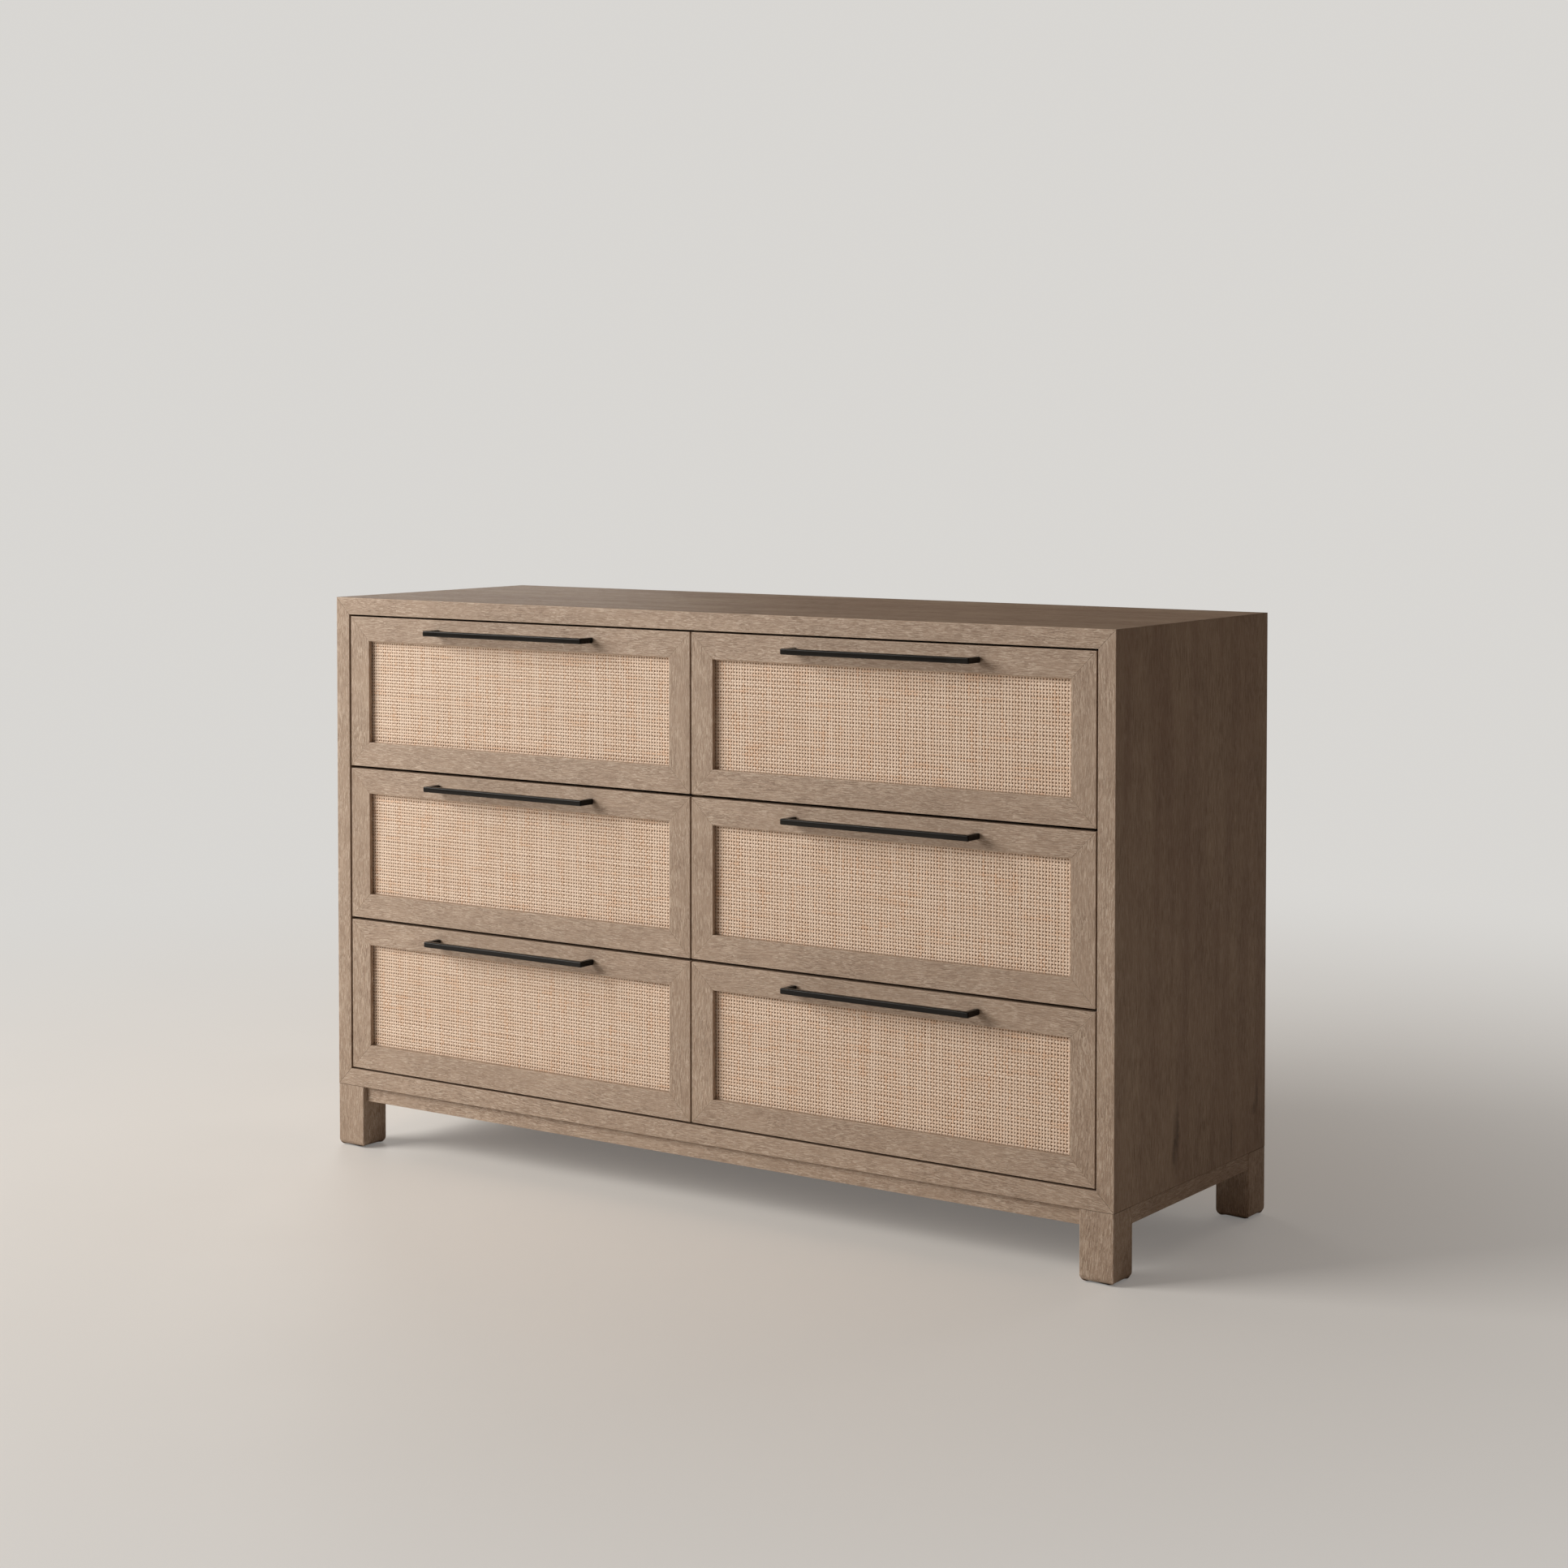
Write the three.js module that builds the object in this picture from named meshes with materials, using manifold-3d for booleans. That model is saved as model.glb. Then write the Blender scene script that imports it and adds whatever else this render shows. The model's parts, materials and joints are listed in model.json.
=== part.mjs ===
// Dresser with two columns of three drawers, mitred frames and woven cane fronts.
// Millimetres, +Z up. The origin is the bottom centre of the whole piece, pulls included:
// the width lies along X and the drawers open towards -Y.

import * as THREE from "three";
import { RoundedBoxGeometry } from "three/addons/geometries/RoundedBoxGeometry.js";
import { mergeVertices } from "three/addons/utils/BufferGeometryUtils.js";
import Module from "manifold-3d";

const wasm = await Module();
wasm.setup();

// Overall
const width = 1460;
const carcassDepth = 480;
const height = 915;
const jointGap = 0.3; // clearance kept between pieces that touch
const ease = 1; // small bevel on the edges that a hand meets

// Carcass
const boardThickness = 28;
const legHeight = 103; // floor to the underside of the carcass
const dividerThickness = 18;
const backThickness = 6;
const backInset = 10; // rear edge of the carcass to the back panel
const backGroove = 6; // how far the back panel enters the boards round it

// Base
const legSize = 55;
const legFootRadius = 9;
const legCornerRadius = 2;
const glideRadius = 14;
const glideThickness = 2;
const apronDrop = 25; // apron showing below the carcass
const apronThickness = 20;
const apronSetback = 9; // front and rear aprons, behind the leg's face
const sideApronSetback = 1;

// Drawer fronts
const rowCount = 3;
const reveal = 3; // gap at the ends of a row, over the top row and under the bottom one
const rowGap = 4.5; // gap between one row of fronts and the next
const frontSetback = 1; // drawer front behind the carcass edge
const frameWidth = 40;
const frameThickness = 20;
const caneRecess = 8;
const caneRebate = 8; // how far the cane panel runs behind the frame

// Pulls
const pullLength = 325;
const pullBar = 9;
const pullProjection = 33;
const pullCornerRadius = 2;

// Drawer boxes and slides
const slideClearance = 12.7;
const slideLength = 400;
const slideHeight = 45;
const slideDepth = 9.4;
const slideSheet = 1.4;
const slideLip = 9;
const boxLength = 420;
const boxHeight = 180;
const boxWall = 12;
const boxRise = 20; // underside of the box above the foot of its drawer front
const bottomThickness = 5;
const bottomRise = 12;
const bottomGroove = 6;

// Planes that the pieces share
const overallDepth = carcassDepth + pullProjection - frontSetback;
const back = overallDepth / 2;
const front = back - carcassDepth;
const right = width / 2;
const carcassBottom = legHeight;
const openingBottom = carcassBottom + boardThickness;
const openingTop = height - boardThickness;
const openingRight = right - boardThickness;
const drawerFace = front + frontSetback;
const backPanelFront = back - backInset - backThickness;
const frontWidth = openingRight - 1.5 * reveal;
const frontHeight =
  (openingTop - openingBottom - 2 * reveal - (rowCount - 1) * rowGap) / rowCount;
const bayWidth = openingRight - dividerThickness / 2;
const boxWidth = bayWidth - 2 * slideClearance;
const boxFront = drawerFace + frameThickness + jointGap;

const rows = ["upper", "middle", "lower"];
const columns = [
  { name: "left", side: -1 },
  { name: "right", side: 1 },
];

const finishes = {
  oak: { color: 0xa8947d, roughness: 0.62, metalness: 0 },
  cane: { color: 0xdcbe9c, roughness: 0.7, metalness: 0 },
  blackMetal: { color: 0x1d1b19, roughness: 0.42, metalness: 0.6 },
  steel: { color: 0xa9abad, roughness: 0.35, metalness: 0.9 },
  birch: { color: 0xcdb48f, roughness: 0.66, metalness: 0 },
  hardboard: { color: 0x8a7660, roughness: 0.8, metalness: 0 },
  nylon: { color: 0x2b2826, roughness: 0.6, metalness: 0 },
};

function named(name, geometry, finish) {
  const mesh = new THREE.Mesh(geometry, new THREE.MeshStandardMaterial(finishes[finish]));
  mesh.name = name;
  return mesh;
}

// A board between two corners, with all of its edges eased
function board(name, low, high, finish, edge = ease) {
  const size = high.map((value, i) => value - low[i]);
  const geometry = new RoundedBoxGeometry(size[0], size[1], size[2], 1, edge);
  const mesh = named(name, geometry, finish);
  mesh.position.set((low[0] + high[0]) / 2, (low[1] + high[1]) / 2, (low[2] + high[2]) / 2);
  return mesh;
}

function blockGeometry(low, high) {
  const size = high.map((value, i) => value - low[i]);
  const geometry = new THREE.BoxGeometry(size[0], size[1], size[2]);
  geometry.translate((low[0] + high[0]) / 2, (low[1] + high[1]) / 2, (low[2] + high[2]) / 2);
  return geometry;
}

function polygon(points) {
  return new THREE.Shape(points.map(([a, b]) => new THREE.Vector2(a, b)));
}

function rectangle(halfWidth, low, high) {
  return polygon([
    [-halfWidth, low],
    [halfWidth, low],
    [halfWidth, high],
    [-halfWidth, high],
  ]);
}

// An XY outline raised from low to high, its end edges eased by edge
function extrudeUp(outline, low, high, edge = 0) {
  const geometry = new THREE.ExtrudeGeometry(outline, {
    depth: high - low - 2 * edge,
    bevelEnabled: edge > 0,
    bevelThickness: edge,
    bevelSize: edge,
    bevelOffset: -edge,
    bevelSegments: 1,
    curveSegments: 5,
  });
  geometry.translate(0, 0, low + edge);
  return geometry;
}

// An XZ outline carried along Y from near to far
function extrudeBack(outline, near, far, edge = 0) {
  const geometry = extrudeUp(outline, -far, -near, edge);
  geometry.rotateX(Math.PI / 2);
  return geometry;
}

function toSolid(geometry) {
  const bare = geometry.clone();
  bare.deleteAttribute("normal");
  bare.deleteAttribute("uv");
  const merged = mergeVertices(bare, 1e-4);
  const mesh = new wasm.Mesh({
    numProp: 3,
    vertProperties: new Float32Array(merged.attributes.position.array),
    triVerts: new Uint32Array(merged.index.array),
  });
  return new wasm.Manifold(mesh);
}

function toGeometry(solid) {
  const mesh = solid.getMesh();
  const geometry = new THREE.BufferGeometry();
  geometry.setAttribute("position", new THREE.BufferAttribute(mesh.vertProperties, 3));
  geometry.setIndex(new THREE.BufferAttribute(mesh.triVerts, 1));
  geometry.computeVertexNormals();
  return geometry;
}

// The four mitred boards of the carcass, grooved together for the back panel
function carcassBoards() {
  const mitreGap = jointGap * Math.SQRT2;
  const lowPoint = carcassBottom;
  const top = [
    [-right, height],
    [right, height],
    [openingRight, openingTop],
    [-openingRight, openingTop],
  ];
  const bottom = [
    [-right, lowPoint],
    [right, lowPoint],
    [openingRight, openingBottom],
    [-openingRight, openingBottom],
  ];
  const side = (sign) => [
    [sign * right, lowPoint + mitreGap],
    [sign * right, height - mitreGap],
    [sign * openingRight, openingTop - mitreGap],
    [sign * openingRight, openingBottom + mitreGap],
  ];
  const groove = blockGeometry(
    [-openingRight - backGroove, backPanelFront - jointGap, openingBottom - backGroove],
    [openingRight + backGroove, backPanelFront + backThickness + jointGap, openingTop + backGroove],
  );
  const outlines = {
    top_panel: top,
    bottom_panel: bottom,
    left_side_panel: side(-1),
    right_side_panel: side(1),
  };
  const boards = new THREE.Group();
  for (const [name, points] of Object.entries(outlines)) {
    const blank = extrudeBack(polygon(points), front, back, ease);
    const grooved = toSolid(blank).subtract(toSolid(groove));
    boards.add(named(name, toGeometry(grooved), "oak"));
  }
  return boards;
}

function carcassInside() {
  const inside = new THREE.Group();
  const half = dividerThickness / 2;
  inside.add(
    board(
      "centre_divider",
      [-half, boxFront, openingBottom + jointGap],
      [half, backPanelFront - jointGap, openingTop - jointGap],
      "birch",
    ),
  );
  const reach = openingRight + backGroove - jointGap;
  inside.add(
    board(
      "back_panel",
      [-reach, backPanelFront, openingBottom - backGroove + jointGap],
      [reach, backPanelFront + backThickness, openingTop + backGroove - jointGap],
      "hardboard",
      0.5,
    ),
  );
  return inside;
}

// A leg square in plan, standing on its glide, with rounded foot edges
function legGeometry() {
  const half = legSize / 2;
  const top = carcassBottom - jointGap;
  const turn = half - legFootRadius;
  const turnHeight = glideThickness + legFootRadius;
  const foot = new THREE.Shape();
  foot.moveTo(-half, top);
  foot.lineTo(-half, turnHeight);
  foot.absarc(-turn, turnHeight, legFootRadius, Math.PI, 1.5 * Math.PI);
  foot.lineTo(turn, glideThickness);
  foot.absarc(turn, turnHeight, legFootRadius, -0.5 * Math.PI, 0);
  foot.lineTo(half, top);
  const inner = half - legCornerRadius;
  const plan = new THREE.Shape();
  plan.absarc(inner, inner, legCornerRadius, 0, 0.5 * Math.PI);
  plan.absarc(-inner, inner, legCornerRadius, 0.5 * Math.PI, Math.PI);
  plan.absarc(-inner, -inner, legCornerRadius, Math.PI, 1.5 * Math.PI);
  plan.absarc(inner, -inner, legCornerRadius, 1.5 * Math.PI, 2 * Math.PI);
  const frontFace = extrudeBack(foot, -half, half);
  const sideFace = frontFace.clone().rotateZ(Math.PI / 2);
  const column = toSolid(extrudeUp(plan, 0, top));
  return toGeometry(column.intersect(toSolid(frontFace)).intersect(toSolid(sideFace)));
}

function glideGeometry() {
  const top = glideThickness - jointGap;
  const rim = 0.7;
  const profile = [
    [0, 0],
    [glideRadius - rim, 0],
    [glideRadius, rim],
    [glideRadius, top],
    [0, top],
  ];
  const geometry = new THREE.LatheGeometry(
    profile.map(([r, z]) => new THREE.Vector2(r, z)),
    20,
  );
  geometry.rotateX(Math.PI / 2);
  return geometry;
}

function base() {
  const stand = new THREE.Group();
  const leg = legGeometry();
  const glide = glideGeometry();
  const places = [
    ["front_left", -right + legSize / 2, front + legSize / 2],
    ["front_right", right - legSize / 2, front + legSize / 2],
    ["rear_left", -right + legSize / 2, back - legSize / 2],
    ["rear_right", right - legSize / 2, back - legSize / 2],
  ];
  for (const [place, x, y] of places) {
    const legMesh = named(place + "_leg", leg, "oak");
    legMesh.position.set(x, y, 0);
    const glideMesh = named(place + "_glide", glide, "nylon");
    glideMesh.position.set(x, y, 0);
    stand.add(legMesh, glideMesh);
  }
  const low = carcassBottom - apronDrop;
  const top = carcassBottom - jointGap;
  const xReach = right - legSize - jointGap;
  const yFront = front + legSize + jointGap;
  const yBack = back - legSize - jointGap;
  const long = (name, y) =>
    board(name, [-xReach, y, low], [xReach, y + apronThickness, top], "oak");
  const short = (name, x) => board(name, [x, yFront, low], [x + apronThickness, yBack, top], "oak");
  stand.add(long("front_apron", front + apronSetback));
  stand.add(long("rear_apron", back - apronSetback - apronThickness));
  stand.add(short("left_apron", -right + sideApronSetback));
  stand.add(short("right_apron", right - sideApronSetback - apronThickness));
  return stand;
}

// The cabinet half of a drawer slide, a lipped channel that opens towards +X
function slideGeometry() {
  const half = slideHeight / 2;
  const channel = polygon([
    [0, -half],
    [slideDepth, -half],
    [slideDepth, -half + slideLip],
    [slideDepth - slideSheet, -half + slideLip],
    [slideDepth - slideSheet, -half + slideSheet],
    [slideSheet, -half + slideSheet],
    [slideSheet, half - slideSheet],
    [slideDepth - slideSheet, half - slideSheet],
    [slideDepth - slideSheet, half - slideLip],
    [slideDepth, half - slideLip],
    [slideDepth, half],
    [0, half],
  ]);
  return extrudeBack(channel, -slideLength / 2, slideLength / 2);
}

function cabinetSlides(label, bayCentre, z) {
  const pair = new THREE.Group();
  const geometry = slideGeometry();
  const y = boxFront + slideLength / 2;
  const reach = bayWidth / 2 - jointGap;
  const onLeft = named(label + "_slide_left", geometry, "steel");
  onLeft.position.set(bayCentre - reach, y, z);
  const onRight = named(label + "_slide_right", geometry, "steel");
  onRight.rotation.z = Math.PI;
  onRight.position.set(bayCentre + reach, y, z);
  pair.add(onLeft, onRight);
  return pair;
}

// The mitred front frame, rebated behind for the cane panel
function frontFrameGeometry() {
  const halfOpening = frontWidth / 2 - frameWidth;
  const outline = rectangle(frontWidth / 2, 0, frontHeight);
  outline.holes.push(rectangle(halfOpening, frameWidth, frontHeight - frameWidth));
  const frame = extrudeBack(outline, 0, frameThickness, ease);
  const rebate = blockGeometry(
    [-halfOpening - caneRebate, caneRecess, frameWidth - caneRebate],
    [halfOpening + caneRebate, frameThickness + 1, frontHeight - frameWidth + caneRebate],
  );
  return toGeometry(toSolid(frame).subtract(toSolid(rebate)));
}

// A square bar bent twice, its two legs square to the drawer front
function pullGeometry() {
  const half = pullLength / 2;
  const inner = half - pullBar;
  const r = pullCornerRadius;
  const outline = new THREE.Shape();
  outline.moveTo(-half, -jointGap);
  outline.lineTo(-half, -pullProjection + r);
  outline.absarc(-half + r, -pullProjection + r, r, Math.PI, 1.5 * Math.PI);
  outline.lineTo(half - r, -pullProjection);
  outline.absarc(half - r, -pullProjection + r, r, -0.5 * Math.PI, 0);
  outline.lineTo(half, -jointGap);
  outline.lineTo(inner, -jointGap);
  outline.lineTo(inner, -pullProjection + pullBar);
  outline.lineTo(-inner, -pullProjection + pullBar);
  outline.lineTo(-inner, -jointGap);
  return extrudeUp(outline, -pullBar / 2, pullBar / 2, ease);
}

// The four walls of a drawer box, grooved inside for its bottom
function boxGeometry() {
  const half = boxWidth / 2;
  const outline = rectangle(half, 0, boxLength);
  outline.holes.push(rectangle(half - boxWall, boxWall, boxLength - boxWall));
  const walls = extrudeUp(outline, 0, boxHeight, ease);
  const inset = boxWall - bottomGroove;
  const groove = blockGeometry(
    [-half + inset, inset, bottomRise],
    [half - inset, boxLength - inset, bottomRise + bottomThickness + 2 * jointGap],
  );
  return toGeometry(toSolid(walls).subtract(toSolid(groove)));
}

function drawer(label, frontCentre, bayCentre, foot) {
  const unit = new THREE.Group();
  const frame = named(label + "_front_frame", frontFrameGeometry(), "oak");
  frame.position.set(frontCentre, drawerFace, foot);

  const caneReach = frontWidth / 2 - frameWidth + caneRebate - jointGap;
  const caneEdge = frameWidth - caneRebate + jointGap;
  const cane = board(
    label + "_cane_panel",
    [frontCentre - caneReach, drawerFace + caneRecess + jointGap, foot + caneEdge],
    [frontCentre + caneReach, drawerFace + frameThickness - jointGap, foot + frontHeight - caneEdge],
    "cane",
    0.4,
  );

  const pull = named(label + "_pull", pullGeometry(), "blackMetal");
  pull.position.set(frontCentre, drawerFace, foot + frontHeight - frameWidth / 2);

  const box = named(label + "_box", boxGeometry(), "birch");
  box.position.set(bayCentre, boxFront, foot + boxRise);

  const bottomReach = boxWidth / 2 - boxWall + bottomGroove - jointGap;
  const bottomInset = boxWall - bottomGroove + jointGap;
  const bottomLow = foot + boxRise + bottomRise + jointGap;
  const bottom = board(
    label + "_box_bottom",
    [bayCentre - bottomReach, boxFront + bottomInset, bottomLow],
    [bayCentre + bottomReach, boxFront + boxLength - bottomInset, bottomLow + bottomThickness],
    "birch",
    0.4,
  );
  unit.add(frame, cane, pull, box, bottom);
  return unit;
}

function dresser() {
  const whole = new THREE.Group();
  whole.add(carcassBoards(), carcassInside(), base());
  rows.forEach((row, i) => {
    const foot = openingTop - reveal - frontHeight - i * (frontHeight + rowGap);
    for (const column of columns) {
      const label = row + "_" + column.name;
      const frontCentre = (column.side * (frontWidth + reveal)) / 2;
      const bayCentre = (column.side * (openingRight + dividerThickness / 2)) / 2;
      whole.add(cabinetSlides(label, bayCentre, foot + boxRise + boxHeight / 2));
      whole.add(drawer(label, frontCentre, bayCentre, foot));
    }
  });
  return whole;
}

export default dresser();
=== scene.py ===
import json
import math

import bmesh
import bpy
import numpy as np
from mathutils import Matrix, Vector

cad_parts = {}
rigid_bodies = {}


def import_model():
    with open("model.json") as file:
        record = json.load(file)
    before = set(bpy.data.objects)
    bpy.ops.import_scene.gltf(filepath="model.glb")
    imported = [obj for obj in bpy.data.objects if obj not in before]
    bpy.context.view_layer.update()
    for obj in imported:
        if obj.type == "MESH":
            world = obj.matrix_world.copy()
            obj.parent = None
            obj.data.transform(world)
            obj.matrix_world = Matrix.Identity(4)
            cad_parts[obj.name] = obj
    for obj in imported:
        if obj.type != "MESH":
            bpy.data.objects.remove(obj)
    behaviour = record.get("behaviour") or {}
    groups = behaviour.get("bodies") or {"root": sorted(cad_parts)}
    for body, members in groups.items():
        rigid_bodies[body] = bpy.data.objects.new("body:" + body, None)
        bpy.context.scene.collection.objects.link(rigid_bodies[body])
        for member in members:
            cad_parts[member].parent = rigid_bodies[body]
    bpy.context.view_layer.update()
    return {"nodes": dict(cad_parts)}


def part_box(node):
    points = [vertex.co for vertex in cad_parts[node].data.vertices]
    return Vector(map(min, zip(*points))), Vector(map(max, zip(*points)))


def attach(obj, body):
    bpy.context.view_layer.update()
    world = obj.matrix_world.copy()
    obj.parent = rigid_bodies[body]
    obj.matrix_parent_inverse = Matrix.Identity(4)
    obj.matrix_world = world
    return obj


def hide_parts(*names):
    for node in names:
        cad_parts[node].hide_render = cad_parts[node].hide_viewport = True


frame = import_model()
nodes = frame["nodes"]
print("frame loaded:", len(nodes), "nodes")


cameraSet = {
    "place": (2.653, -3.798, 1.177),
    "tilt": 1.99,  # degrees down
    "turn": 34.75,  # degrees round to the left
    "lens": 67.4,
    "shift": -0.155,
}


def makeCamera():
    tilt = math.radians(90 - cameraSet["tilt"])
    turn = math.radians(cameraSet["turn"])
    bpy.ops.object.camera_add(location=cameraSet["place"], rotation=(tilt, 0, turn))
    camera = bpy.context.object
    camera.name = "camera"
    camera.data.lens = cameraSet["lens"]
    camera.data.shift_y = cameraSet["shift"]
    bpy.context.scene.camera = camera


lightSet = {
    "keyPlace": (-3.8, -3.5, 2.7),
    "keyTarget": (-0.35, -0.2, 0.5),
    "keySize": (3.6, 3.0),
    "keyPower": 326,
    "keyColour": (1.0, 0.965, 0.915),
    "fillColour": (1.0, 0.77, 0.61),
    "fillStrength": 0.13,
    "windowPlace": (-2.8, 2.3, 1.7),
    "windowTarget": (-0.2, 0, 0.7),
    "windowSize": (1.5, 1.6),
    "windowPower": 13.5,
    "rearPlace": (0.6, 4.6, 3.4),
    "rearTarget": (0, 0.3, 0.3),
    "rearSize": (3.2, 2.4),
    "rearPower": 36,
    "backdrop": (0.69, 0.675, 0.65),
}


def addSoftLight(name):
    place = lightSet[name + "Place"]
    bpy.ops.object.light_add(type="AREA", location=place)
    light = bpy.context.object
    light.name = name + "Light"
    aim = Vector(lightSet[name + "Target"]) - Vector(place)
    light.rotation_euler = aim.to_track_quat("-Z", "Y").to_euler()
    light.data.shape = "RECTANGLE"
    light.data.size, light.data.size_y = lightSet[name + "Size"]
    light.data.energy = lightSet[name + "Power"]
    light.data.color = lightSet["keyColour"]
    light.visible_camera = False
    return light


def makeLights():
    for name in ("key", "window", "rear"):
        light = addSoftLight(name)
        light.visible_glossy = name != "rear"
    world = bpy.data.worlds.new("room")
    bpy.context.scene.world = world
    world.use_nodes = True
    tree = world.node_tree
    tree.nodes.clear()
    path = tree.nodes.new("ShaderNodeLightPath")
    fill = tree.nodes.new("ShaderNodeBackground")
    fill.inputs["Color"].default_value = (*lightSet["fillColour"], 1)
    fill.inputs["Strength"].default_value = lightSet["fillStrength"]
    seen = tree.nodes.new("ShaderNodeBackground")
    seen.inputs["Color"].default_value = (*lightSet["backdrop"], 1)
    mix = tree.nodes.new("ShaderNodeMixShader")
    tree.links.new(path.outputs["Is Camera Ray"], mix.inputs[0])
    tree.links.new(fill.outputs[0], mix.inputs[1])
    tree.links.new(seen.outputs[0], mix.inputs[2])
    output = tree.nodes.new("ShaderNodeOutputWorld")
    tree.links.new(mix.outputs[0], output.inputs["Surface"])
    bpy.context.scene.view_settings.view_transform = "Standard"


# helpers for building node trees
def addNode(tree, kind, feeds=None, **settings):
    made = tree.nodes.new(kind)
    made.location = (180 * len(tree.nodes), 0)
    for name, value in settings.items():
        setattr(made, name, value)
    for socket, value in (feeds or {}).items():
        if isinstance(value, bpy.types.NodeSocket):
            tree.links.new(value, made.inputs[socket])
        else:
            made.inputs[socket].default_value = value
    return made


def calculate(tree, operation, first, second=0.0):
    return addNode(tree, "ShaderNodeMath", {0: first, 1: second}, operation=operation).outputs[0]


def calculateVector(tree, operation, first, second):
    made = addNode(tree, "ShaderNodeVectorMath", {0: first, 1: second}, operation=operation)
    return made.outputs[0]


def noise(tree, vector, scale, detail=2.0):
    feeds = {"Vector": vector, "Scale": scale, "Detail": detail}
    return addNode(tree, "ShaderNodeTexNoise", feeds)


def remap(tree, value, low, high, toLow=0.0, toHigh=1.0):
    feeds = {0: value, 1: low, 2: high, 3: toLow, 4: toHigh}
    return addNode(tree, "ShaderNodeMapRange", feeds, interpolation_type="SMOOTHSTEP").outputs[0]


def mixColours(tree, factor, first, second):
    feeds = {0: factor, 6: first, 7: second}
    return addNode(tree, "ShaderNodeMix", feeds, data_type="RGBA").outputs[2]


def newGroup(name, inputs, outputs):
    group = bpy.data.node_groups.new(name, "ShaderNodeTree")
    kinds = {"colour": "NodeSocketColor", "value": "NodeSocketFloat", "vector": "NodeSocketVector"}
    for label, kind, value in inputs:
        socket = group.interface.new_socket(label, in_out="INPUT", socket_type=kinds[kind])
        socket.default_value = value
    for label, kind in outputs:
        group.interface.new_socket(label, in_out="OUTPUT", socket_type=kinds[kind])
    return group, group.nodes.new("NodeGroupInput"), group.nodes.new("NodeGroupOutput")


# a range is the low and high noise value that a mask rises between, then what it rises from and to
grainSet = {
    "sway": (6.0, 0.4, 0.05),  # scale, stretch and reach of the slow bends in the grain
    "ripple": (180.0, 0.8, 0.0018),
    "bandStretch": 0.07,
    "bandRange": (0.36, 0.64),
    "broad": (13.0, 0.2),  # scale and stretch of the wide changes of tone
    "broadShare": 0.4,
    "cloudScale": 14.0,
    "cloudRange": (0.3, 0.7, 0.4),
    "fibre": (1350.0, 0.032),
    "fibreRange": (0.45, 0.59),
    "fleck": (1300.0, 0.048),
    "fleckRange": (0.49, 0.6),
    "fleckRise": 0.4,  # how far a fleck stands up, as a share of a fibre's depth
    "patchScale": 30.0,
    "patchRange": (0.38, 0.6, 0.6),
    "speckleScale": 1500.0,
    "speckleRange": (0.35, 0.65, 0.0, 0.35),
}


def makeGrainGroup():
    # wood with its grain along X: soft bands, long fibres and limed flecks
    inputs = [
        ("Vector", "vector", (0, 0, 0)),
        ("Pale", "colour", (0.5, 0.4, 0.3, 1)),
        ("Middle", "colour", (0.4, 0.3, 0.2, 1)),
        ("Deep", "colour", (0.25, 0.18, 0.12, 1)),
        ("Lime", "colour", (0.62, 0.55, 0.47, 1)),
        ("Lime Amount", "value", 0.5),
        ("Fibre Amount", "value", 0.4),
        ("Waviness", "value", 1.0),
        ("Band Scale", "value", 150.0),
    ]
    outputs = [("Colour", "colour"), ("Height", "value"), ("Pores", "value")]
    group, start, end = newGroup("Grain", inputs, outputs)
    point = start.outputs["Vector"]

    def stretched(vector, share):
        return calculateVector(group, "MULTIPLY", vector, (share, 1, 1))

    def bend(key):
        scale, stretch, reach = grainSet[key]
        offset = noise(group, stretched(point, stretch), scale).outputs["Color"]
        offset = calculateVector(group, "SUBTRACT", offset, (0.5, 0.5, 0.5))
        offset = calculateVector(group, "MULTIPLY", offset, (0, reach, reach))
        feeds = {0: offset, "Scale": start.outputs["Waviness"]}
        return addNode(group, "ShaderNodeVectorMath", feeds, operation="SCALE").outputs[0]

    def mask(vector, scale, key, detail=2.0):
        return remap(group, noise(group, vector, scale, detail).outputs[0], *grainSet[key])

    swayed = calculateVector(group, "ADD", point, bend("sway"))
    bent = calculateVector(group, "ADD", swayed, bend("ripple"))
    bandPoint = stretched(swayed, grainSet["bandStretch"])
    bands = mask(bandPoint, start.outputs["Band Scale"], "bandRange", 3.0)
    scale, stretch = grainSet["broad"]
    broad = mask(stretched(swayed, stretch), scale, "bandRange")
    bands = calculate(group, "MULTIPLY", bands, 1 - grainSet["broadShare"])
    broad = calculate(group, "MULTIPLY", broad, grainSet["broadShare"])
    bands = calculate(group, "ADD", bands, broad)

    cloud = mask(point, grainSet["cloudScale"], "cloudRange")
    scale, stretch = grainSet["fibre"]
    fibres = mask(stretched(bent, stretch), scale, "fibreRange")
    scale, stretch = grainSet["fleck"]
    flecks = mask(stretched(bent, stretch), scale, "fleckRange")
    patches = mask(point, grainSet["patchScale"], "patchRange")
    flecks = calculate(group, "MULTIPLY", flecks, patches)
    speckle = mask(point, grainSet["speckleScale"], "speckleRange", 1.0)

    colour = mixColours(group, bands, start.outputs["Pale"], start.outputs["Middle"])
    fibreShare = calculate(group, "MULTIPLY", fibres, start.outputs["Fibre Amount"])
    fibreShare = calculate(group, "MULTIPLY", fibreShare, cloud)
    colour = mixColours(group, fibreShare, colour, start.outputs["Deep"])
    colour = mixColours(group, speckle, colour, start.outputs["Middle"])
    fleckShare = calculate(group, "MULTIPLY", flecks, start.outputs["Lime Amount"])
    colour = mixColours(group, fleckShare, colour, start.outputs["Lime"])
    height = calculate(group, "MULTIPLY", flecks, grainSet["fleckRise"])
    height = calculate(group, "SUBTRACT", height, fibres)
    group.links.new(colour, end.inputs["Colour"])
    group.links.new(height, end.inputs["Height"])
    group.links.new(fibres, end.inputs["Pores"])
    return group


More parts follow.
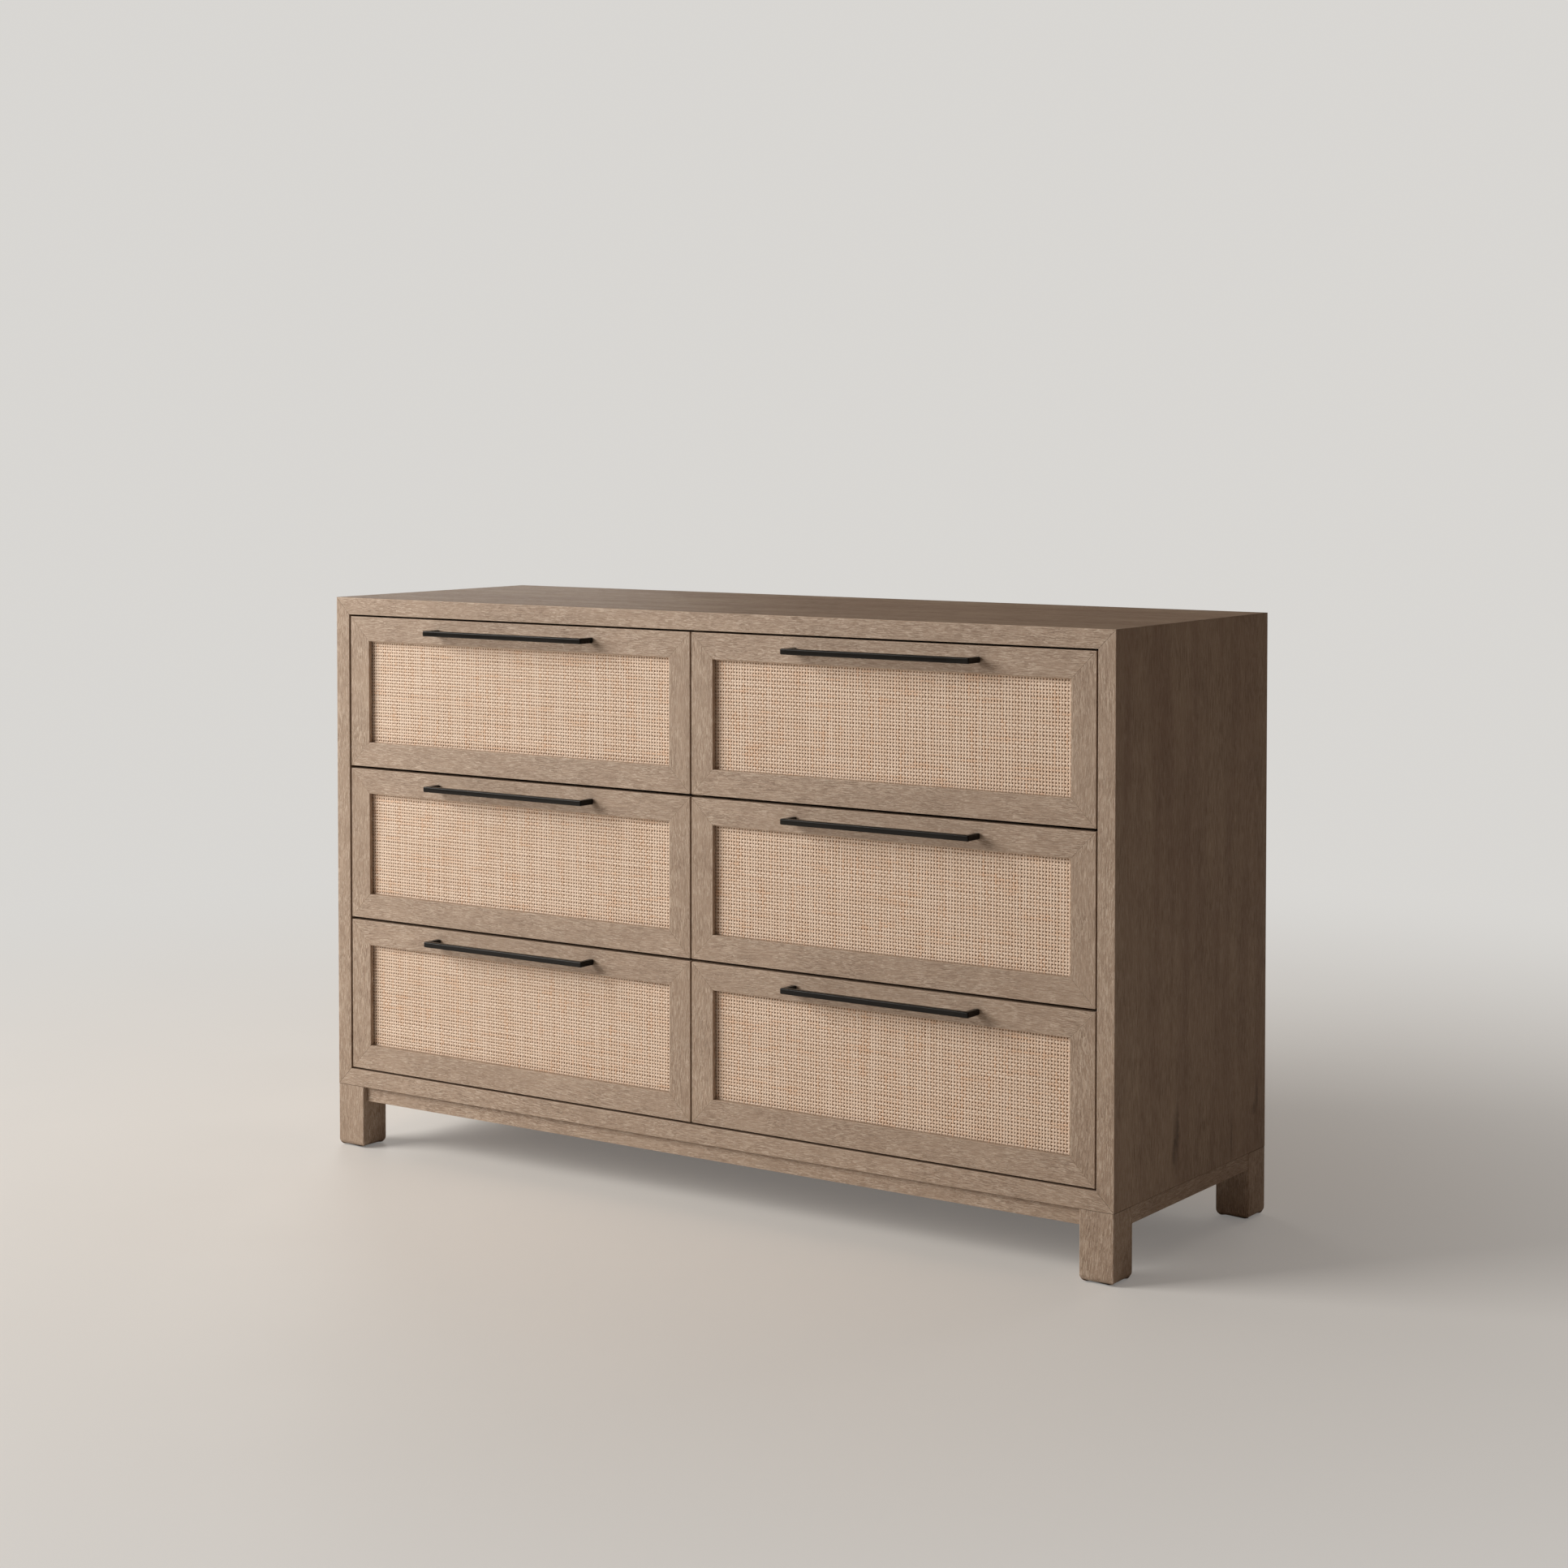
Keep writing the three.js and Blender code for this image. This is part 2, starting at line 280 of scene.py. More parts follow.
knotShape = {"raggedScale": 150.0, "ragged": (0.008, 0.008, 0.02), "core": 0.1}


def makeKnotGroup():
    # a dark spot in the wood, longer along Z, with a ragged rim
    inputs = [
        ("Vector", "vector", (0, 0, 0)),
        ("Centre", "vector", (0, 0, 0)),
        ("Size", "vector", (0.1, 0.01, 0.02)),
    ]
    group, start, end = newGroup("Knot", inputs, [("Mask", "value")])
    place = start.outputs["Vector"]
    offset = calculateVector(group, "SUBTRACT", place, start.outputs["Centre"])
    rough = noise(group, place, knotShape["raggedScale"], 3.0).outputs["Color"]
    ragged = calculateVector(group, "SUBTRACT", rough, (0.5, 0.5, 0.5))
    ragged = calculateVector(group, "MULTIPLY", ragged, knotShape["ragged"])
    offset = calculateVector(group, "ADD", offset, ragged)
    offset = calculateVector(group, "DIVIDE", offset, start.outputs["Size"])
    far = addNode(group, "ShaderNodeVectorMath", {0: offset}, operation="LENGTH").outputs["Value"]
    group.links.new(remap(group, far, knotShape["core"], 1.0, 1.0, 0.0), end.inputs["Mask"])
    return group


mottleRange = (0.3, 0.7)


def makeMottleGroup():
    # cloudy change of tone with a fine tooth, for plain finishes
    inputs = [
        ("Vector", "vector", (0, 0, 0)),
        ("First", "colour", (0.5, 0.5, 0.5, 1)),
        ("Second", "colour", (0.4, 0.4, 0.4, 1)),
        ("Cloud Scale", "value", 30.0),
        ("Tooth Scale", "value", 1200.0),
    ]
    outputs = [("Colour", "colour"), ("Cloud", "value"), ("Tooth", "value")]
    group, start, end = newGroup("Mottle", inputs, outputs)
    cloud = noise(group, start.outputs["Vector"], start.outputs["Cloud Scale"], 4.0)
    cloud = remap(group, cloud.outputs[0], *mottleRange)
    tooth = noise(group, start.outputs["Vector"], start.outputs["Tooth Scale"], 2.0).outputs[0]
    colour = mixColours(group, cloud, start.outputs["First"], start.outputs["Second"])
    group.links.new(colour, end.inputs["Colour"])
    group.links.new(cloud, end.inputs["Cloud"])
    group.links.new(tooth, end.inputs["Tooth"])
    return group


grainGroup = makeGrainGroup()
knotGroup = makeKnotGroup()
mottleGroup = makeMottleGroup()
grainTurns = {"x": (0, 0, 0), "y": (0, 0, math.radians(90)), "z": (0, math.radians(90), 0)}


def newMaterial(name, roughness, metallic=0.0, specular=0.5):
    material = bpy.data.materials.new(name)
    material.use_nodes = True
    tree = material.node_tree
    shader = tree.nodes["Principled BSDF"]
    shader.inputs["Roughness"].default_value = roughness
    shader.inputs["Metallic"].default_value = metallic
    shader.inputs["Specular IOR Level"].default_value = specular
    place = addNode(tree, "ShaderNodeTexCoord").outputs["Object"]
    return material, tree, shader, place


def addBump(tree, shader, height, distance):
    feeds = {"Height": height, "Distance": distance, "Strength": 1.0}
    bump = addNode(tree, "ShaderNodeBump", feeds)
    tree.links.new(bump.outputs[0], shader.inputs["Normal"])


poreSpread = (0.06, 0.1)  # roughness taken off between the pores, and added in them


def woodMaterial(name, grain, wood, knots=()):
    material, tree, shader, place = newMaterial(name, wood["roughness"])
    turned = addNode(tree, "ShaderNodeMapping", {"Vector": place, "Rotation": grainTurns[grain]})
    figure = addNode(tree, "ShaderNodeGroup", node_tree=grainGroup)
    tree.links.new(turned.outputs[0], figure.inputs["Vector"])
    for label in ("Pale", "Middle", "Deep", "Lime"):
        figure.inputs[label].default_value = (*wood[label.lower()], 1)
    figure.inputs["Lime Amount"].default_value = wood["limeAmount"]
    figure.inputs["Fibre Amount"].default_value = wood["fibreAmount"]
    figure.inputs["Waviness"].default_value = wood["waviness"]
    figure.inputs["Band Scale"].default_value = wood["bandScale"]
    colour = figure.outputs["Colour"]
    for centre, size in knots:
        knot = addNode(tree, "ShaderNodeGroup", node_tree=knotGroup)
        tree.links.new(place, knot.inputs["Vector"])
        knot.inputs["Centre"].default_value = centre
        knot.inputs["Size"].default_value = size
        share = calculate(tree, "MULTIPLY", knot.outputs["Mask"], wood["knotStrength"])
        colour = mixColours(tree, share, colour, (*wood["knot"], 1))
    tree.links.new(colour, shader.inputs["Base Color"])
    smooth, dull = wood["roughness"] - poreSpread[0], wood["roughness"] + poreSpread[1]
    rough = remap(tree, figure.outputs["Pores"], 0.0, 1.0, smooth, dull)
    tree.links.new(rough, shader.inputs["Roughness"])
    addBump(tree, shader, figure.outputs["Height"], wood["poreDepth"])
    return material


oakSet = {
    "pale": (0.395, 0.29, 0.212),
    "middle": (0.325, 0.231, 0.165),
    "deep": (0.165, 0.107, 0.07),
    "lime": (0.56, 0.455, 0.362),
    "knot": (0.07, 0.042, 0.028),
    "knotStrength": 0.5,
    "limeAmount": 0.74,
    "fibreAmount": 0.8,
    "waviness": 1.0,
    "bandScale": 150.0,
    "roughness": 0.58,
    "poreDepth": 0.00012,
}
# paler oak for the bevelled arrises: painted highlight, so the edges read as thin light lines
oakEdgeHighlightSet = {
    **oakSet,
    "pale": (0.45, 0.335, 0.248),
    "middle": (0.385, 0.28, 0.203),
    "fibreAmount": 0.25,
}
# straight-grained veneer for the top and the ends; its darker middle tone and fewer limed flecks
# are partly painted shade that darkens the top and the shaded ends
oakVeneerShadedSet = {
    **oakSet,
    "pale": (0.4, 0.3, 0.216),
    "middle": (0.272, 0.18, 0.126),
    "limeAmount": 0.3,
    "fibreAmount": 0.85,
    "waviness": 0.35,
    "bandScale": 30.0,
}
birchSet = {
    "pale": (0.66, 0.52, 0.36),
    "middle": (0.58, 0.43, 0.28),
    "deep": (0.42, 0.28, 0.16),
    "lime": (0.74, 0.62, 0.47),
    "limeAmount": 0.15,
    "fibreAmount": 0.35,
    "waviness": 0.6,
    "bandScale": 45.0,
    "roughness": 0.5,
    "poreDepth": 0.00005,
}
sideKnots = [  # place and reach of each dark spot in the right end
    ((0.73, -0.0330, 0.190), (0.05, 0.0050, 0.060)),
    ((0.73, -0.0403, 0.166), (0.05, 0.0080, 0.014)),
    ((0.73, -0.0450, 0.148), (0.05, 0.0065, 0.022)),
    ((0.73, -0.0380, 0.170), (0.05, 0.0150, 0.070)),
    ((0.73, 0.2174, 0.169), (0.05, 0.0090, 0.016)),
    ((0.73, 0.2270, 0.190), (0.05, 0.0060, 0.045)),
    ((0.73, 0.1410, 0.140), (0.05, 0.0045, 0.045)),
]
oak = {grain: woodMaterial("oak_grain_" + grain, grain, oakSet) for grain in "xyz"}
# the edge materials carry a painted highlight on the arrises
oakEdgeHighlight = {grain: woodMaterial("oak_edge_highlight_" + grain, grain, oakEdgeHighlightSet) for grain in "xyz"}
oakVeneerShaded = {grain: woodMaterial("oak_veneer_shaded_" + grain, grain, oakVeneerShadedSet) for grain in "xz"}
# the right end uses the darkened veneer colours, partly painted shade, with its real knots added
oakSide = woodMaterial("oak_end_panel", "z", oakVeneerShadedSet, sideKnots)
birch = {grain: woodMaterial("birch_grain_" + grain, grain, birchSet) for grain in "xyz"}

caneSet = {
    "pale": (0.785, 0.627, 0.5),
    "deep": (0.665, 0.49, 0.36),
    "amber": (0.68, 0.41, 0.245),
    "strand": (170.0, 0.03),  # scale and stretch of the change from strand to strand
    "strandRange": (0.35, 0.65, 0.0),
    "patch": (120.0, 0.16),
    "patchRange": (0.54, 0.7, 0.0, 0.6),
    "fibre": (2600.0, 0.05),
    "fibreRange": (0.4, 0.7, 0.0, 0.35),
    "roughness": (0.48, 0.64),
    "roughRange": (0.3, 0.7),
    "fibreDepth": 0.00006,
    "uprightSpread": 1.0,
    "levelSpread": 0.6,
}


def caneMaterial(name, grain, spread):
    material, tree, shader, place = newMaterial(name, caneSet["roughness"][0])
    feeds = {"Vector": place, "Rotation": grainTurns[grain]}
    turned = addNode(tree, "ShaderNodeMapping", feeds).outputs[0]

    def streaks(key):
        scale, stretch = caneSet[key]
        point = calculateVector(tree, "MULTIPLY", turned, (stretch, 1, 1))
        return noise(tree, point, scale, 2.0).outputs[0]

    tone = remap(tree, streaks("strand"), *caneSet["strandRange"], spread)
    colour = mixColours(tree, tone, (*caneSet["pale"], 1), (*caneSet["deep"], 1))
    patch = remap(tree, streaks("patch"), *caneSet["patchRange"])
    colour = mixColours(tree, patch, colour, (*caneSet["amber"], 1))
    fibre = streaks("fibre")
    streak = remap(tree, fibre, *caneSet["fibreRange"])
    colour = mixColours(tree, streak, colour, (*caneSet["deep"], 1))
    tree.links.new(colour, shader.inputs["Base Color"])
    rough = remap(tree, fibre, *caneSet["roughRange"], *caneSet["roughness"])
    tree.links.new(rough, shader.inputs["Roughness"])
    addBump(tree, shader, fibre, caneSet["fibreDepth"])
    return material


def mottledMaterial(name, finish):
    shine = finish.get("metallic", 0.0), finish.get("specular", 0.5)
    material, tree, shader, place = newMaterial(name, finish["roughness"], *shine)
    stretched = calculateVector(tree, "MULTIPLY", place, finish.get("stretch", (1, 1, 1)))
    mottle = addNode(tree, "ShaderNodeGroup", node_tree=mottleGroup)
    tree.links.new(stretched, mottle.inputs["Vector"])
    mottle.inputs["First"].default_value = (*finish["first"], 1)
    mottle.inputs["Second"].default_value = (*finish["second"], 1)
    mottle.inputs["Cloud Scale"].default_value = finish["cloud"]
    mottle.inputs["Tooth Scale"].default_value = finish["tooth"]
    tree.links.new(mottle.outputs["Colour"], shader.inputs["Base Color"])
    spread = finish.get("spread", 0.06)
    smooth, dull = finish["roughness"] - spread, finish["roughness"] + spread
    rough = remap(tree, mottle.outputs["Cloud"], 0.0, 1.0, smooth, dull)
    tree.links.new(rough, shader.inputs["Roughness"])
    addBump(tree, shader, mottle.outputs["Tooth"], finish["depth"])
    return material


finishSet = {
    "black_coat": {
        "first": (0.008, 0.0069, 0.0058), "second": (0.011, 0.0096, 0.0082), "roughness": 0.21,
        "spread": 0.02, "specular": 0.13, "cloud": 25.0, "tooth": 2600.0, "depth": 0.000006,
    },
    "zinc_steel": {
        "first": (0.62, 0.62, 0.61), "second": (0.5, 0.51, 0.52), "roughness": 0.34, "spread": 0.09,
        "metallic": 1.0, "cloud": 90.0, "tooth": 1500.0, "depth": 0.00002, "stretch": (1, 0.12, 1),
    },
    "cane_backing": {
        "first": (0.4, 0.225, 0.12), "second": (0.33, 0.18, 0.09), "roughness": 0.8,
        "cloud": 70.0, "tooth": 900.0, "depth": 0.0001,
    },
    "hardboard": {
        "first": (0.42, 0.3, 0.2), "second": (0.35, 0.24, 0.155), "roughness": 0.72,
        "cloud": 140.0, "tooth": 1100.0, "depth": 0.00008,
    },
    "nylon": {
        "first": (0.6, 0.58, 0.53), "second": (0.52, 0.5, 0.46), "roughness": 0.45,
        "cloud": 160.0, "tooth": 900.0, "depth": 0.00005,
    },
    "rubber": {
        "first": (0.035, 0.034, 0.033), "second": (0.05, 0.048, 0.046), "roughness": 0.75,
        "cloud": 160.0, "tooth": 1200.0, "depth": 0.00005,
    },
}
finishes = {name: mottledMaterial(name, finish) for name, finish in finishSet.items()}
caneUpright = caneMaterial("cane_upright", "z", caneSet["uprightSpread"])
caneLevel = caneMaterial("cane_level", "x", caneSet["levelSpread"])
print("materials made:", len(bpy.data.materials))


floorSet = {
    "radius": 30,
    "sides": 96,
    "colour": (0.87, 0.85, 0.82, 1),
    "worn": 0.985,  # the darker patches
    "roughness": (0.5, 0.6),
    "cloudScale": 2.0,
    "toothScale": 300.0,
    # the floor near the piece glows with this share of the backdrop: painted light that lifts its
    # cast shadows
    "nearGlowShare": 0.2,  # share of backdrop in the floor near the piece
    "fadeStart": 0.4,
    "fadeEnd": 3.4,
}


def makeFloor():
    material, tree, shader, place = newMaterial("pale_floor", floorSet["roughness"][0])
    mottle = addNode(tree, "ShaderNodeGroup", node_tree=mottleGroup)
    tree.links.new(place, mottle.inputs["Vector"])
    worn = [value * floorSet["worn"] for value in floorSet["colour"]]
    mottle.inputs["First"].default_value = floorSet["colour"]
    mottle.inputs["Second"].default_value = worn
    mottle.inputs["Cloud Scale"].default_value = floorSet["cloudScale"]
    mottle.inputs["Tooth Scale"].default_value = floorSet["toothScale"]
    tree.links.new(mottle.outputs["Colour"], shader.inputs["Base Color"])
    rough = remap(tree, mottle.outputs["Cloud"], 0.0, 1.0, *floorSet["roughness"])
    tree.links.new(rough, shader.inputs["Roughness"])
    # for camera rays the floor glows with the backdrop colour: a small share of painted light near
    # the piece, rising to all backdrop far off
    far = addNode(tree, "ShaderNodeVectorMath", {0: place}, operation="LENGTH").outputs["Value"]
    glowShare = floorSet["nearGlowShare"]
    fade = remap(tree, far, floorSet["fadeStart"], floorSet["fadeEnd"], glowShare, 1.0)
    glow = addNode(tree, "ShaderNodeEmission", {"Color": (*lightSet["backdrop"], 1)})
    path = addNode(tree, "ShaderNodeLightPath")
    fade = calculate(tree, "MULTIPLY", fade, path.outputs["Is Camera Ray"])
    feeds = {0: fade, 1: shader.outputs[0], 2: glow.outputs[0]}
    blend = addNode(tree, "ShaderNodeMixShader", feeds)
    tree.links.new(blend.outputs[0], tree.nodes["Material Output"].inputs["Surface"])
    bpy.ops.mesh.primitive_circle_add(
        vertices=floorSet["sides"], radius=floorSet["radius"], fill_type="NGON")
    floor = bpy.context.object
    floor.name = "floor"
    floor.data.materials.append(material)


makeCamera()
makeLights()
makeFloor()


shapeSet = {
    "close": 1e-5,  # how near counts as touching
    "bevelAngle": math.radians(30),  # a corner sharper than this gets a bevel
    "shadeAngle": math.radians(40),
    "weaveAngle": math.radians(65),
}


# helpers for selecting and shaping a mesh
def only(piece):
    bpy.ops.object.select_all(action="DESELECT")
    piece.select_set(True)
    bpy.context.view_layer.objects.active = piece


def edit(piece):
    only(piece)
    bpy.ops.object.mode_set(mode="EDIT")
    bpy.ops.mesh.select_all(action="SELECT")


def editDone():
    bpy.ops.object.mode_set(mode="OBJECT")


def pickFaces(piece, wanted):
    bpy.ops.mesh.select_mode(type="FACE")
    bpy.ops.mesh.select_all(action="DESELECT")
    shape = bmesh.from_edit_mesh(piece.data)
    for face in shape.faces:
        face.select_set(bool(wanted(face.calc_center_median(), face.normal)))
    bmesh.update_edit_mesh(piece.data)


def pickEdges(piece, wanted):
    bpy.ops.mesh.select_mode(type="EDGE")
    bpy.ops.mesh.select_all(action="DESELECT")
    shape = bmesh.from_edit_mesh(piece.data)
    for line in shape.edges:
        first, second = (end.co for end in line.verts)
        line.select_set(bool(wanted((first + second) / 2, (second - first).normalized())))
    bmesh.update_edit_mesh(piece.data)


def pickPoints(piece, wanted):
    bpy.ops.mesh.select_mode(type="VERT")
    bpy.ops.mesh.select_all(action="DESELECT")
    shape = bmesh.from_edit_mesh(piece.data)
    for point in shape.verts:
        point.select_set(bool(wanted(point.co)))
    shape.select_flush(True)
    bmesh.update_edit_mesh(piece.data)


def cutAcross(axis, place, **trim):
    # a cut through everything, square to one axis
    bpy.ops.mesh.select_all(action="SELECT")
    where = [0, 0, 0]
    where[axis] = place
    facing = [0, 0, 0]
    facing[axis] = 1
    bpy.ops.mesh.bisect(plane_co=where, plane_no=facing, **trim)


def pull(value):
    bpy.ops.mesh.extrude_region_move(TRANSFORM_OT_translate={"value": value})


def addBlock(name, low, high):
    bpy.ops.object.select_all(action="DESELECT")
    middle = [(a + b) / 2 for a, b in zip(low, high)]
    bpy.ops.mesh.primitive_cube_add(size=1, location=middle)
    piece = bpy.context.object
    piece.name = name
    piece.data.name = name
    piece.scale = [b - a for a, b in zip(low, high)]
    settle(piece)
    return piece


def settle(piece):
    only(piece)
    bpy.ops.object.transform_apply(location=True, rotation=True, scale=True)


def applyModifier(piece, kind, **settings):
    only(piece)
    bpy.ops.object.modifier_add(type=kind)
    modifier = piece.modifiers[-1]
    for name, value in settings.items():
        setattr(modifier, name, value)
    bpy.ops.object.modifier_apply(modifier=modifier.name)


def smoothFlats(piece):
    # smooth shading that leaves the flat faces flat
    bpy.ops.object.shade_smooth_by_angle(angle=shapeSet["shadeAngle"])
    applyModifier(piece, "WEIGHTED_NORMAL", keep_sharp=True)


def soften(piece, width, segments=3, edgeSlot=-1):
    applyModifier(piece, "BEVEL", width=width, segments=segments, limit_method="ANGLE",
                  angle_limit=shapeSet["bevelAngle"], material=edgeSlot)
    smoothFlats(piece)


def softenMitred(piece, along, settings):
    # long edges get the full bevel, the mitred ends a share of it
    edit(piece)
    sharp = shapeSet["bevelAngle"]
    shape = bmesh.from_edit_mesh(piece.data)
    keen = {line.index for line in shape.edges if line.calc_face_angle(0) > sharp}
    pickEdges(piece, lambda middle, way: abs(way[along]) > 0.99)
    bpy.ops.transform.edge_bevelweight(value=1)
    pickEdges(piece, lambda middle, way: abs(way[along]) < 0.99)
    bpy.ops.transform.edge_bevelweight(value=settings["mitreShare"])
    editDone()
    weights = piece.data.attributes["bevel_weight_edge"].data
    for line in piece.data.edges:
        if line.index not in keen:
            weights[line.index].value = 0
    applyModifier(piece, "BEVEL", width=settings["edge"], segments=3, limit_method="WEIGHT",
                  material=1)
    smoothFlats(piece)


def cutOut(piece, low, high):
    cutter = addBlock("cutter", low, high)
    applyModifier(piece, "BOOLEAN", operation="DIFFERENCE", solver="EXACT", object=cutter)
    bpy.data.objects.remove(cutter)


def copyTo(piece, name, shift):
    only(piece)
    bpy.ops.object.duplicate(linked=False)
    twin = bpy.context.object
    twin.name = name
    twin.data.name = name
    twin.location = shift
    settle(twin)
    return twin


def join(pieces, name):
    bpy.ops.object.select_all(action="DESELECT")
    for piece in pieces:
        piece.select_set(True)
    bpy.context.view_layer.objects.active = pieces[0]
    bpy.ops.object.join()
    pieces[0].name = name
    pieces[0].data.name = name
    return pieces[0]


def paint(piece, *materials):
    for material in materials:
        piece.data.materials.append(material)


def belong(piece, body, slot, *replaced):
    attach(piece, body)
    if replaced:
        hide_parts(*replaced)


boardSet = {"edge": 0.001, "mitreShare": 0.3, "jointGap": 0.0003}


def mitreEnds(piece, low, high, along, inner):
    # the inner face becomes shorter by the board's own width at each end
    across = 2 - along
    length = high[along] - low[along]
    width = high[across] - low[across]
    pickFaces(piece, lambda middle, normal: normal[across] * inner > 0.9)
    factor = [1, 1, 1]
    factor[along] = (length - 2 * width) / length
    centre = [(a + b) / 2 for a, b in zip(low, high)]
    bpy.ops.transform.resize(value=factor, center_override=centre)


def carcassBoard(name, node, along, inner, materials):
    low, high = (list(corner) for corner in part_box(node))
    backLow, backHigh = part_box("back_panel")
    gap = boardSet["jointGap"]
    piece = addBlock(name, low, high)
    edit(piece)
    mitreEnds(piece, low, high, along, inner)
    editDone()
    cutOut(piece, [value - gap for value in backLow], [value + gap for value in backHigh])
    paint(piece, *materials)
    # front edges keep the plain oak; the other faces take the veneer, whose darker tone is partly
    # painted shade
    for face in piece.data.polygons:
        if face.normal.y < -0.9:
            face.material_index = 2
    softenMitred(piece, along, boardSet)
    belong(piece, "carcass", "oak", node)


def apronBoard(node, grain):
    piece = addBlock(node + "_board", *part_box(node))
    paint(piece, oak[grain], oakEdgeHighlight[grain])
    soften(piece, boardSet["edge"], 3, 1)
    belong(piece, "carcass", "oak", node)


carcassBoard("top_board", "top_panel", 0, -1, [oakVeneerShaded["x"], oakEdgeHighlight["x"], oak["x"]])
carcassBoard("bottom_board", "bottom_panel", 0, 1, [oakVeneerShaded["x"], oakEdgeHighlight["x"], oak["x"]])
carcassBoard("left_end_board", "left_side_panel", 2, 1, [oakVeneerShaded["z"], oakEdgeHighlight["z"], oak["z"]])
carcassBoard("right_end_board", "right_side_panel", 2, -1, [oakSide, oakEdgeHighlight["z"], oak["z"]])
for side, grain in (("front", "x"), ("rear", "x"), ("left", "y"), ("right", "y")):
    apronBoard(side + "_apron", grain)
print("carcass boards made")


legSet = {  # width of each bevel and its segments
    "corner": (0.002, 3),
    "foot": (0.009, 7),
    "top": (0.0006, 2),
}
corners = ("front_left", "front_right", "rear_left", "rear_right")


def makeLegs():
    low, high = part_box("front_left_leg")
    first = addBlock("front_left_post", low, high)

    def roundOff(key, wanted):
        width, segments = legSet[key]
        pickEdges(first, wanted)
        bpy.ops.mesh.bevel(offset=width, segments=segments, affect="EDGES")

    edit(first)
    roundOff("corner", lambda middle, way: abs(way.z) > 0.9)
    roundOff("foot", lambda middle, way: abs(middle.z - low[2]) < shapeSet["close"])
    roundOff("top", lambda middle, way: abs(middle.z - high[2]) < shapeSet["close"])
    editDone()
    paint(first, oak["z"])
    smoothFlats(first)
    for corner in corners:
        shift = Vector(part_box(corner + "_leg")[0]) - Vector(low)
        leg = first if corner == "front_left" else copyTo(first, corner + "_post", shift)
        belong(leg, "carcass", "oak", corner + "_leg")


makeLegs()


caneWeave = {
    "pitch": 0.005,
    "width": 0.00295,
    "thickness": 0.00045,
    "wave": 0.00024,
    "crown": 0.6,  # the front of a strand is this share of its width
    "columns": 63,  # pairs of strands
    "rows": 18,
    "behindFace": 0.0093,
    "backingFront": 0.0104,
    "backingEdge": 0.0006,
    "sidestep": 0.00018,  # how unevenly the strands are spaced
    "sway": 0.0002,
    "swayLength": (0.05, 0.2),
    "draws": 400,  # more than the strands either way
    "seed": 11,
}


def addStrand(axis, place, phase):
    # one period of a strand along an axis, open at both ends
    across = 2 - axis
    half = caneWeave["width"] / 2
    start = caneWeave["pitch"] / 2 - half
    period = 2 * caneWeave["pitch"]
    low = [0, -caneWeave["thickness"] / 2, 0]
    high = [0, caneWeave["thickness"] / 2, 0]
    low[across], high[across] = place - half, place + half
    low[axis], high[axis] = start, start + period
    strand = addBlock("strand", low, high)
    edit(strand)
    pickFaces(strand, lambda middle, normal: normal.y < -0.9)
    factor = [1, 1, 1]
    factor[across] = caneWeave["crown"]
    centre = [(a + b) / 2 for a, b in zip(low, high)]
    bpy.ops.transform.resize(value=factor, center_override=centre)
    pickFaces(strand, lambda middle, normal: abs(normal[axis]) > 0.9)
    bpy.ops.mesh.delete(type="ONLY_FACE")
    turns = [start + 2 * half, start + period / 2, start + period / 2 + 2 * half]
    for turn in turns:
        cutAcross(axis, turn)
    tiny = caneWeave["pitch"] / 100
    pickPoints(strand, lambda point: turns[0] + tiny < point[axis] < turns[2] + tiny)
    bpy.ops.transform.translate(value=(0, phase * caneWeave["wave"], 0))
    pickPoints(strand, lambda point: not turns[0] + tiny < point[axis] < turns[2] + tiny)
    bpy.ops.transform.translate(value=(0, -phase * caneWeave["wave"], 0))
    editDone()
    paint(strand, caneUpright, caneLevel)
    if axis == 0:
        for face in strand.data.polygons:
            face.material_index = 1
    return strand


def makeWeave(name, low, high):
    pitch = caneWeave["pitch"]
    strands = [addStrand(2, 0.5 * pitch, 1), addStrand(2, 1.5 * pitch, -1)]
    strands += [addStrand(0, 0.5 * pitch, -1), addStrand(0, 1.5 * pitch, 1)]
    weave = join(strands, name)
    step = 2 * pitch
    repeats = (((step, 0, 0), caneWeave["columns"] + 1), ((0, 0, step), caneWeave["rows"] + 1))
    for offset, count in repeats:
        applyModifier(weave, "ARRAY", count=count, use_relative_offset=False,
                      use_constant_offset=True, constant_offset_displace=offset,
                      use_merge_vertices=True, merge_threshold=shapeSet["close"])
    halfWidth = caneWeave["columns"] * pitch
    halfHeight = caneWeave["rows"] * pitch
    weave.location = (-halfWidth - pitch, 0, -halfHeight - pitch)
    settle(weave)
    edit(weave)
    for axis, reach in ((0, halfWidth), (2, halfHeight)):
        cutAcross(axis, reach, clear_outer=True, use_fill=True)
        cutAcross(axis, -reach, clear_inner=True, use_fill=True)
    editDone()
    bpy.ops.object.shade_smooth_by_angle(angle=shapeSet["weaveAngle"])
    depth = low[1] + caneWeave["behindFace"]
    weave.location = ((low[0] + high[0]) / 2, depth, (low[2] + high[2]) / 2)
    settle(weave)
    return weave


